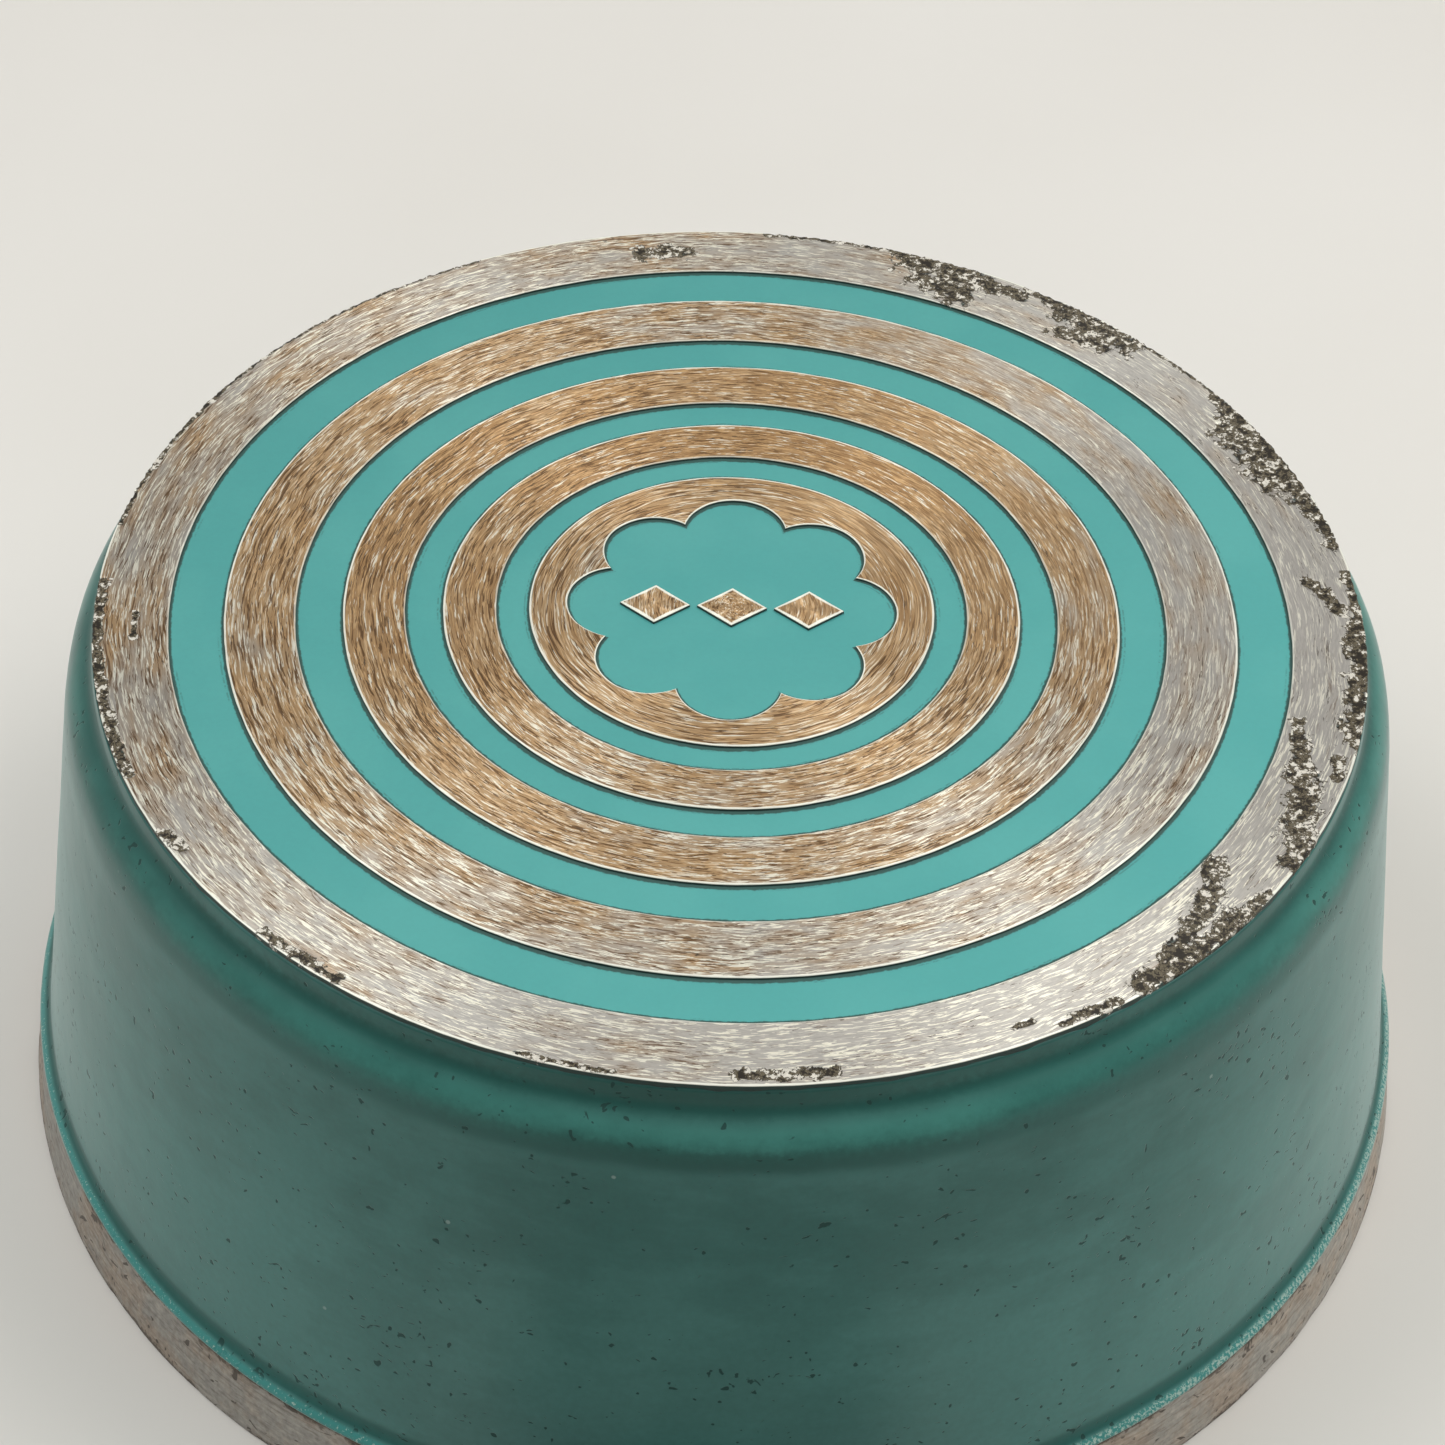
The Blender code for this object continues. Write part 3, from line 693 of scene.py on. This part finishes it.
def lobe_radius(angle):
    """How far the rosette reaches at each angle: the outline of a ring of overlapping circles."""
    sector = math.tau / LOBES
    across = (angle + sector / 2.0) % sector - sector / 2.0
    reach = LOBE_CENTRE * np.cos(across)
    return reach + np.sqrt(LOBE_R ** 2 - (LOBE_CENTRE * np.sin(across)) ** 2)


def decay_amount(angle, radius):
    """How corroded the outer land is, 0 to 1, from the distance to the corroded stretches."""
    along = np.degrees(angle)
    amount = np.zeros_like(radius)
    for start, start_r, end, end_r, half in CORROSION:
        length = math.radians(end - start) * start_r
        x = np.radians((along - start + 180.0) % 360.0 - 180.0) * start_r
        y = radius / MM - start_r
        rise = end_r - start_r
        share = np.clip((x * length + y * rise) / (length ** 2 + rise ** 2), 0.0, 1.0)
        apart = np.hypot(x - share * length, y - share * rise)
        amount = np.maximum(amount, np.clip(1.0 - apart / (2.0 * half), 0.0, 1.0))
    return amount


def land_outline(columns, low):
    """Places across a land, 0 at its inner and 1 at its outer side, with offsets from them and heights.

    The outline goes up the outer side, over a rounded corner, across the top and down the inner side.
    """
    e = EDGE_ROUNDING
    corner = arc((-e, TOP_Z - e), e, 0.0, 90.0, 5)
    outer = [(1.0, 0.0, low), (1.0, 0.0, (low + TOP_Z) / 2.0)] + [(1.0, x, z) for x, z in corner]
    inner = [(0.0, -x, z) for _, x, z in reversed(outer)]
    top = [(1.0 - k / columns, e * (2.0 * k / columns - 1.0), TOP_Z) for k in range(1, columns)]
    return outer + top + inner


def add_land(name, inner, outer, steps, columns, material, decayed=False):
    """A machined land of the base between two radii; inner may change with the angle."""
    angle = angles(steps)
    inner_r = inner(angle) if callable(inner) else np.full_like(angle, inner)
    low = GROOVE_Z - 0.5 * MM
    share, offset, height = np.array(land_outline(columns, low)).T[:, None, :]
    radius = inner_r + (outer - inner_r) * share + offset
    height = np.repeat(height, steps, axis=0)
    points = turn_points(radius, height)
    wander = rough(points, 5.0 * MM, 2, 3.0).reshape(radius.shape)
    sides = np.abs(2.0 * share - 1.0) ** 8
    radius = radius + wander * 0.06 * MM * sides * np.sign(share - 0.5)
    edge = np.minimum(radius - inner_r, outer - radius)
    on_top = ramp(height, TOP_Z - 2.0 * EDGE_ROUNDING, TOP_Z - 0.4 * EDGE_ROUNDING)
    relief = np.minimum(wander, 0.0) * 0.02 * MM
    decay = np.zeros_like(radius)
    if decayed:
        fine = rough(points, 1.1 * MM, 3, 9.0).reshape(radius.shape)
        wide = rough(points, 2.8 * MM, 3, 5.0).reshape(radius.shape)
        decay = decay_amount(np.repeat(angle, radius.shape[1], axis=1), radius)
        decay = np.where(decay > 0.0, decay + wide * 0.42 + fine * 0.16, 0.0)
        eaten = ramp(decay, 0.42, 0.62)
        relief = relief - eaten * (0.10 + 0.12 * np.clip(fine + 0.4, 0.0, 1.0)) * MM
        rim = ramp(radius, outer - 1.2 * MM, outer)
        radius = radius - rim * eaten * np.clip(0.10 + fine * 0.25, 0.0, 0.25) * MM
    height = height + relief * on_top
    piece = add_piece(name, turn_points(radius, height), quads(steps, radius.shape[1]), material,
                      ("pot_body",))
    add_field(piece, "edge", np.maximum(edge, 0.0))
    add_field(piece, "outer_edge", np.maximum(outer - radius, 0.0))
    if decayed:
        add_field(piece, "decay", decay)


def add_base_lands():
    """Four ring lands and the scalloped centre land, from the outside in."""
    spans = [(GROOVES[0][1], EDGE_R)]
    spans += [(GROOVES[k + 1][1], GROOVES[k][0]) for k in range(3)]
    stains = ((0.16, 0.34, 0.14), (0.54, 0.38, 0.14), (1.04, 0.28, 0.32), (1.18, 0.02, 0.36))
    grids = ((1440, 44), (1080, 30), (840, 26), (600, 22))
    for number, ((inner, outer), stain, (steps, columns)) in enumerate(zip(spans, stains, grids), 1):
        outermost = number == 1
        metal = machined_metal(f"machined_land_{number}", (inner + outer) / 2.0, *stain, decayed=outermost)
        add_land(f"base_land_{number}", inner, outer, steps, columns, metal, decayed=outermost)
    metal = machined_metal("machined_centre", LOBE_CENTRE, 1.12, -0.10, 0.05, inner_line=1.0)
    add_land("base_centre_land", lobe_radius, GROOVES[3][0], 768, 30, metal)
    add_centre_marks(metal)


def add_centre_marks(metal):
    """Plain raised lozenges in a row across the rosette."""
    half_long, half_wide = LOZENGE_HALF

    def lozenge_reach(angle):
        return 1.0 / (np.abs(np.cos(angle)) / half_long + np.abs(np.sin(angle)) / half_wide)

    for number, x in enumerate(LOZENGE_X, 1):
        add_boss(f"base_lozenge_{number}", lozenge_reach, x, 160, metal)


def add_boss(name, reach, x, steps, material):
    """A low raised boss, closed below: reach gives its radius at each angle. Its top corner is worn round."""
    angle = angles(steps)
    e = EDGE_ROUNDING
    corner = arc((-e, TOP_Z - e), e, 0.0, 90.0, 5)
    offsets = np.array([0.0, 0.0] + [point[0] for point in corner] + [-e] * 7)
    heights = np.array([GROOVE_Z, GROOVE_Z] + [point[1] for point in corner] + [TOP_Z] * 7)
    shares = np.array([0.0] + [1.0] * 6 + [0.85, 0.7, 0.5, 0.35, 0.2, 0.1, 0.0])
    radius = np.maximum((reach(angle) + offsets) * shares, 0.0)
    edge = (reach(angle) - radius) * 0.6
    height = np.repeat(heights[None, :], steps, axis=0)
    points = turn_points(radius, height) + np.array((x, 0.0, 0.0))
    piece = add_piece(name, points, quads(steps, radius.shape[1], close_columns=False), material,
                      ("pot_body",))
    add_field(piece, "edge", np.maximum(edge, 0.0))
    add_field(piece, "outer_edge", np.maximum(edge, 0.0))
    tidy_mesh(piece)


def add_enamel_fill(name, inner, outer, steps, columns, material, node):
    """Enamel in a recess: flat, with a thin lip where it climbs the sides."""
    angle = angles(steps)
    outer_r = outer(angle) if callable(outer) else np.full_like(angle, outer)
    across = 0.5 - 0.5 * np.cos(np.linspace(0.0, math.pi, columns))
    radius = outer_r + (inner - outer_r) * across
    from_side = outer_r - radius
    if inner > 0.0:
        from_side = np.minimum(from_side, radius - inner)
    height = ENAMEL_Z + 0.12 * MM * np.exp(-from_side / (0.25 * MM))
    points = turn_points(radius, height)
    height = height + rough(points, 14.0 * MM, 2, 7.0).reshape(height.shape) * 0.03 * MM
    bottom_r = np.concatenate([radius[:, -1:], radius[:, :1]], axis=1)
    radius = np.concatenate([radius, bottom_r], axis=1)
    height = np.concatenate([height, np.full_like(bottom_r, GROOVE_Z)], axis=1)
    from_side = np.concatenate([from_side, np.zeros_like(bottom_r)], axis=1)
    piece = add_piece(name, turn_points(radius, height), quads(steps, radius.shape[1]), material,
                      (node,))
    add_field(piece, "edge", from_side)
    if inner == 0.0:
        tidy_mesh(piece)


def add_base_enamel():
    """Enamel in the four ring grooves and in the rosette."""
    enamel = groove_enamel()
    for number, (inner, outer) in enumerate(GROOVES, 1):
        steps = 1200 - 200 * number
        add_enamel_fill(f"groove_enamel_{number}", inner, outer, steps, 22, enamel, f"enamel_groove_{number}")
    add_enamel_fill("rosette_enamel", 0.0, lobe_radius, 576, 34, enamel, "enamel_rosette")


# ---- Wall, rim and inside --------------------------------------------------------------

def bead_outline():
    """Foot of the wall: a hollow, then a bead that rounds over onto the band, from the band upward."""
    crest = (BAND_R + 0.10 * MM, BAND_Z + 1.15 * MM)
    hollow = (BAND_R - 1.85 * MM, BAND_Z + 3.6 * MM)
    return [(BAND_R - 0.30 * MM, BAND_Z - 0.05 * MM), (BAND_R + 0.10 * MM, BAND_Z + 0.25 * MM),
            (BAND_R + 0.28 * MM, BAND_Z + 0.70 * MM), crest, (BAND_R - 0.45 * MM, BAND_Z + 1.75 * MM),
            (BAND_R - 1.35 * MM, BAND_Z + 2.6 * MM), hollow]


def add_wall():
    """The enamelled wall, a thin skin from the bead to the edge of the base."""
    line = smooth_line(bead_outline(), 0.35 * MM)[:-1] + smooth_line(wall_line(), 1.1 * MM)
    steps = 900
    outer_r, outer_z = spin(line, steps)
    points = turn_points(outer_r, outer_z)
    swell = rough(points, 30.0 * MM, 2, 2.0).reshape(outer_r.shape)
    ripple = rough(points, 5.0 * MM, 2, 6.0).reshape(outer_r.shape)
    fade = ramp(outer_z, TOP_Z, TOP_Z - 4.0 * MM)
    outer_r = outer_r + (swell * 0.10 + ripple * 0.025) * MM * fade
    inner = [(r - COAT_THICK, min(z, TOP_Z - 1.0 * MM)) for r, z in reversed(line[::2])]
    inner_r, inner_z = spin(inner, steps)
    radius = np.concatenate([outer_r, inner_r], axis=1)
    height = np.concatenate([outer_z, inner_z], axis=1)
    enamel = wall_enamel()
    add_piece("wall_enamel", turn_points(radius, height), quads(steps, radius.shape[1]), enamel,
              ("enamel_wall",))
    return enamel


def add_rim_band():
    """The bare band between the bead and the rim, with the rim's face and the lid's seat."""
    e = 0.35 * MM
    line = arc((RIM_R - e, e), e, -90.0, 0.0, 5)
    line += smooth_line([(RIM_R - 0.15 * MM, 1.8 * MM), (RIM_R - 0.95 * MM, 7.0 * MM),
                         (BAND_R - 0.05 * MM, BAND_Z + 0.4 * MM)], 0.8 * MM)
    line += [(BAND_R - 1.2 * MM, BAND_Z + 0.4 * MM), (LID_R + 0.3 * MM, LID_SEAT_DEPTH + 0.5 * MM)]
    line += [(LID_R, LID_SEAT_DEPTH), (LID_R, LID_SEAT_DEPTH / 2.0)]
    line += arc((LID_R + e, e), e, 180.0, 270.0, 5)
    line += [(LID_R + (RIM_R - LID_R) * k / 6.0, 0.0) for k in range(1, 6)]
    steps = 900
    radius, height = spin(line, steps)
    points = turn_points(radius, height)
    dents = rough(points, 7.0 * MM, 3, 4.0).reshape(radius.shape)
    outside = ramp(radius, LID_R + 2.0 * MM, LID_R + 3.0 * MM)
    radius = radius - np.clip(dents, 0.0, 1.0) * 0.16 * MM * outside
    add_piece("rim_band", turn_points(radius, height), quads(steps, radius.shape[1]), rim_metal(),
              ("pot_body",))


def add_casting():
    """The cast shell behind the enamel: its inside shows, its outside is covered."""
    seat_r, inner_z = LID_R - 1.75 * MM, TOP_Z - BASE_THICK
    corner_r = EDGE_R + 1.85 * MM - INNER_CORNER_R
    outer = [(r - 0.80 * MM, z) for r, z in smooth_line(wall_line(), 1.5 * MM)]
    line = [(LID_R + 0.6 * MM, 6.2 * MM), (BAND_R - 1.4 * MM, BAND_Z)]
    line += [(r, min(z, GROOVE_Z - 0.1 * MM)) for r, z in outer]
    line += [(EDGE_R - 1.0 * MM, GROOVE_Z), (EDGE_R / 2.0, GROOVE_Z), (0.0, GROOVE_Z), (0.0, inner_z)]
    line += [(corner_r * k / 24.0, inner_z) for k in range(1, 24)]
    line += arc((corner_r, inner_z - INNER_CORNER_R), INNER_CORNER_R, 90.0, 8.0, 12)
    line += smooth_line([(seat_r - 5.8 * MM, 60.0 * MM), (seat_r, 7.0 * MM)], 1.5 * MM)
    line += [(seat_r + 0.3 * MM, LID_SEAT_DEPTH + 0.2 * MM), (seat_r + 0.6 * MM, LID_SEAT_DEPTH),
             (LID_R + 0.1 * MM, LID_SEAT_DEPTH)]
    steps = 360
    radius, height = spin(line, steps)
    piece = add_piece("pot_casting", turn_points(radius, height), quads(steps, len(line)), inside_metal(),
                      ("pot_body",))
    tidy_mesh(piece)


# ---- Handles ---------------------------------------------------------------------------

def power_curve(turn, power):
    """Cosine and sine bent towards a rounded rectangle: power 2 is a circle, more is squarer."""
    c, s = np.cos(turn), np.sin(turn)
    return np.sign(c) * np.abs(c) ** (2.0 / power), np.sign(s) * np.abs(s) ** (2.0 / power)


def add_grip(side, material):
    """A loop grip: a rounded bar that runs round a finger hole, flat where it meets the pot."""
    low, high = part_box(f"{side}_grip")
    away = -1.0 if side == "front" else 1.0
    centre = (low + high) / 2.0
    half = (high - low) / 2.0
    near = min(abs(low.y), abs(high.y))
    hole = Vector(GRIP_HOLE_HALF)
    hole_centre = near + GRIP_BAR + hole.y
    steps, around = 192, 36
    turn = angles(steps)
    power = 2.6 + 2.4 * ramp(np.sin(turn), 0.25, -0.25)
    outer_x, outer_y = power_curve(turn, power)
    outer_x = outer_x * half.x
    outer_y = outer_y * half.y + abs(centre.y)
    inner_x, inner_y = power_curve(turn, 3.0)
    inner_x = inner_x * hole.x
    inner_y = inner_y * hole.y + hole_centre
    section = np.linspace(0.0, math.tau, around, endpoint=False)[None, :]
    across, up = power_curve(section, GRIP_SQUARENESS)
    share = 0.5 + 0.5 * across
    x = inner_x + (outer_x - inner_x) * share
    y = inner_y + (outer_y - inner_y) * share
    finger_side = ramp(across, -0.2, -1.0)
    z = centre.z + up * (half.z * (1.0 - 0.04 * finger_side))
    seam = np.exp(-(z - centre.z) ** 2 / (0.35 * MM) ** 2) * 0.07 * MM
    x = x + np.sign(across) * seam * np.cos(turn)
    points = np.stack([x, y * away, np.broadcast_to(z, x.shape)], axis=-1).reshape(-1, 3)
    piece = add_piece(f"{side}_handle_grip", points, quads(steps, around), material,
                      (f"{side}_grip",))
    tidy_mesh(piece)


def add_lug(side, material):
    """The closed boss on the wall that holds the handle's screw, flared where it leaves the wall."""
    away = -1.0 if side == "front" else 1.0
    grip_low, grip_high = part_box(f"{side}_grip")
    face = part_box("pot_body")[1].y
    height = (grip_low.z + grip_high.z) / 2.0
    half_wide, half_high = LUG_HALF
    steps = 72
    turn = angles(steps)
    outline_x, outline_z = power_curve(turn, 5.0)
    distances = [0.0, 0.15 * MM, 0.5 * MM] + [LUG_DEPTH * k / 10.0 for k in range(1, 11)]
    middle = 0.0 * outline_x
    sections = [np.stack([middle, middle, np.full_like(turn, face)], axis=-1)]
    for along in distances:
        worn = -0.5 * MM * math.exp(-along / (0.2 * MM))
        flared = max(0.0, (along - 0.35 * LUG_DEPTH) / (0.65 * LUG_DEPTH)) ** 2.5
        spread = LUG_FLARE * flared + worn
        x = outline_x * (half_wide + spread * 1.5)
        z = outline_z * (half_high + spread * 0.7)
        sections.append(np.stack([x, z, np.full_like(turn, face - along)], axis=-1))
    sections.append(np.stack([middle, middle, np.full_like(turn, face - LUG_DEPTH)], axis=-1))
    grid = np.concatenate(sections, axis=1).reshape(-1, 3)
    points = np.stack([grid[:, 0], grid[:, 2] * away, grid[:, 1] + height], axis=-1)
    piece = add_piece(f"{side}_lug", points, quads(steps, len(sections), close_columns=False), material,
                      ("pot_body",))
    tidy_mesh(piece)


def add_handles(lug_material):
    """Both handles: grips and lugs are new, and sheet and fasteners keep their CAD shapes."""
    grip_material = phenolic()
    sheet, steel = stamped_aluminium(), plated_steel()
    for side in ("front", "rear"):
        add_grip(side, grip_material)
        add_lug(side, lug_material)
        dress_node(f"{side}_flame_guard", sheet)
        dress_node(f"{side}_screw", steel)
        dress_node(f"{side}_lock_washer", steel)


def dress_node(node, material):
    """Gives a CAD node a worn material in place of its plain one."""
    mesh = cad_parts[node].data
    mesh.materials.clear()
    mesh.materials.append(material)


# ---- Camera, floor and light -----------------------------------------------------------

def add_camera():
    """Looks down at the base from the front, at about 42 degrees, from two thirds of a metre."""
    data = bpy.data.cameras.new("camera")
    data.sensor_width = 36.0
    data.lens = 93.85
    camera = bpy.data.objects.new("camera", data)
    bpy.context.collection.objects.link(camera)
    distance, elevation = 0.6456, math.radians(41.543)
    place = Vector((0.0, -distance * math.cos(elevation), TOP_Z + distance * math.sin(elevation)))
    tilt = Matrix.Rotation(math.pi / 2.0 - elevation, 4, "X") @ Matrix.Rotation(math.radians(0.071), 4, "Y")
    aim = Matrix.Rotation(math.radians(-1.773), 4, "X") @ Matrix.Rotation(math.radians(2.381), 4, "Z")
    camera.matrix_world = Matrix.Translation(place) @ tilt @ aim
    bpy.context.scene.camera = camera


def add_floor():
    """A large round floor that the rim rests on."""
    steps = 96
    rings = [0.0, 0.5, 1.5, 4.0, FLOOR_R]
    radius, height = spin([(r, -0.02 * MM) for r in reversed(rings)], steps)
    mesh = bpy.data.meshes.new("floor")
    mesh.from_pydata(turn_points(radius, height).tolist(), [], quads(steps, len(rings), close_columns=False))
    mesh.materials.append(pale_floor())
    floor = bpy.data.objects.new("floor", mesh)
    bpy.context.collection.objects.link(floor)
    tidy_mesh(floor)


def add_area_light(name, place, target, size, power, colour):
    """A soft rectangular light aimed at a point."""
    data = bpy.data.lights.new(name, "AREA")
    data.shape = "RECTANGLE"
    data.size, data.size_y = size
    data.energy = power
    data.color = colour
    light = bpy.data.objects.new(name, data)
    light.location = place
    light.rotation_euler = (Vector(target) - Vector(place)).to_track_quat("-Z", "Y").to_euler()
    bpy.context.collection.objects.link(light)


def add_world(front, back, top):
    """A soft surround: its brightness changes from front to back and towards the top."""
    world = bpy.data.worlds.new("studio")
    world.use_nodes = True
    bpy.context.scene.world = world
    tree = world.node_tree
    tree.nodes.clear()
    output = tree.nodes.new("ShaderNodeOutputWorld")
    background = tree.nodes.new("ShaderNodeBackground")
    tree.links.new(background.outputs[0], output.inputs["Surface"])
    place = tree.nodes.new("ShaderNodeTexCoord")
    split = tree.nodes.new("ShaderNodeSeparateXYZ")
    tree.links.new(place.outputs["Generated"], split.inputs[0])

    def spread(socket, low, high, at_low, at_high):
        node = tree.nodes.new("ShaderNodeMapRange")
        node.interpolation_type = "SMOOTHSTEP"
        tree.links.new(socket, node.inputs["Value"])
        for key, value in zip(("From Min", "From Max", "To Min", "To Max"), (low, high, at_low, at_high)):
            node.inputs[key].default_value = value
        return node.outputs["Result"]

    level = spread(split.outputs["Y"], -0.8, 0.5, front, back)
    lift = spread(split.outputs["Z"], 0.5, 1.0, 0.0, top)
    total = tree.nodes.new("ShaderNodeMath")
    total.operation = "ADD"
    tree.links.new(level, total.inputs[0])
    tree.links.new(lift, total.inputs[1])
    tree.links.new(total.outputs[0], background.inputs["Strength"])
    background.inputs["Color"].default_value = (1.0, 0.985, 0.955, 1.0)


def add_lights():
    """Two soft lights above the sides, weaker ones behind, and a little fill from the front."""
    add_world(front=0.20, back=0.40, top=0.28)
    warm = (1.0, 0.985, 0.95)
    add_area_light("left", (-0.80, 0.12, 1.30), (0.0, 0.0, 0.1), (0.9, 0.9), 7.8, (0.98, 0.99, 0.98))
    add_area_light("right", (0.80, 0.12, 1.30), (0.0, 0.0, 0.1), (0.9, 0.9), 9.0, warm)
    add_area_light("front", (0.22, -1.20, 1.30), (0.0, 0.0, 0.1), (1.0, 0.8), 2.1, warm)
    add_area_light("back", (0.05, 0.55, 1.35), (0.0, 0.0, 0.1), (0.6, 0.6), 1.3, warm)
    add_area_light("far_right", (0.56, 1.12, 0.98), (0.0, 0.0, 0.1), (0.6, 0.6), 0.8, (1.0, 0.98, 0.97))
    view = bpy.context.scene.view_settings
    view.view_transform = "Standard"
    view.look = "None"


add_camera()
add_floor()
add_lights()
add_base_lands()
add_base_enamel()
pot_enamel = add_wall()
add_rim_band()
add_casting()
add_handles(pot_enamel)
